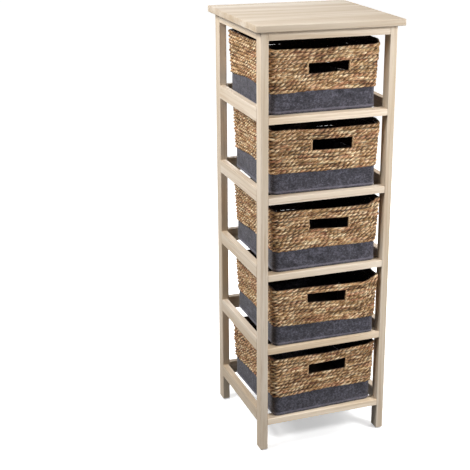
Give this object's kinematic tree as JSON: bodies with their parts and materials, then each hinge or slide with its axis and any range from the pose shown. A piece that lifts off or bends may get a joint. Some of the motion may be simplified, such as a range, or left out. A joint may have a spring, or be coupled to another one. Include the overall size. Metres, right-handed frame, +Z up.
{
  "type": "basket drawer unit",
  "caption": "Narrow free-standing stand of pale wood whose open bays hold pull-out woven rope baskets with felt lower parts and a hand hole in front.",
  "frame": {"origin": "on the floor, at the middle of the unit's footprint", "axes": "+Z up, the front faces -Y, +X to the right as seen from the front"},
  "size_m": [0.346, 0.33, 1],
  "materials": {
    "pale_wood": "matt bare pale wood with fine grain",
    "dowel_wood": "plain turned hardwood",
    "rope": "twisted plant-fibre rope",
    "felt": "matt blue-grey felt",
    "base_board": "dark hardboard",
    "wire": "black painted wire",
    "screw_steel": "zinc plated",
    "glide_plastic": "dark moulded plastic"
  },
  "bodies": {
    "stand": {"leg_front_left": "pale_wood", "leg_front_right": "pale_wood", "leg_back_left": "pale_wood", "leg_back_right": "pale_wood", "top_board": "pale_wood", "apron_front": "pale_wood", "apron_back": "pale_wood", "apron_left": "pale_wood", "apron_right": "pale_wood", "front_rail_1": "pale_wood", "back_rail_1": "pale_wood", "left_rail_1": "pale_wood", "right_rail_1": "pale_wood", "runners_1": "pale_wood", "front_rail_2": "pale_wood", "back_rail_2": "pale_wood", "left_rail_2": "pale_wood", "right_rail_2": "pale_wood", "runners_2": "pale_wood", "front_rail_3": "pale_wood", "back_rail_3": "pale_wood", "left_rail_3": "pale_wood", "right_rail_3": "pale_wood", "runners_3": "pale_wood", "front_rail_4": "pale_wood", "back_rail_4": "pale_wood", "left_rail_4": "pale_wood", "right_rail_4": "pale_wood", "runners_4": "pale_wood", "front_rail_5": "pale_wood", "back_rail_5": "pale_wood", "left_rail_5": "pale_wood", "right_rail_5": "pale_wood", "runners_5": "pale_wood", "dowels": "dowel_wood", "top_screws": "screw_steel", "leg_glides": "glide_plastic"},
    "basket_1": {"basket_1_felt": "felt", "basket_1_base": "base_board", "basket_1_wire": "wire", "basket_1_weave": "rope"},
    "basket_2": {"basket_2_felt": "felt", "basket_2_base": "base_board", "basket_2_wire": "wire", "basket_2_weave": "rope"},
    "basket_3": {"basket_3_felt": "felt", "basket_3_base": "base_board", "basket_3_wire": "wire", "basket_3_weave": "rope"},
    "basket_4": {"basket_4_felt": "felt", "basket_4_base": "base_board", "basket_4_wire": "wire", "basket_4_weave": "rope"},
    "basket_5": {"basket_5_felt": "felt", "basket_5_base": "base_board", "basket_5_wire": "wire", "basket_5_weave": "rope"}
  },
  "joints": [
    {"name": "basket_1_slide", "type": "slide", "parent": "stand", "child": "basket_1", "axis": [0, -1, 0], "range_m": [-0.007, 0.2]},
    {"name": "basket_2_slide", "type": "slide", "parent": "stand", "child": "basket_2", "axis": [0, -1, 0], "range_m": [-0.008, 0.2]},
    {"name": "basket_3_slide", "type": "slide", "parent": "stand", "child": "basket_3", "axis": [0, -1, 0], "range_m": [-0.017, 0.2]},
    {"name": "basket_4_slide", "type": "slide", "parent": "stand", "child": "basket_4", "axis": [0, -1, 0], "range_m": [-0.022, 0.2]},
    {"name": "basket_5_slide", "type": "slide", "parent": "stand", "child": "basket_5", "axis": [0, -1, 0], "range_m": [-0.016, 0.2]}
  ]
}
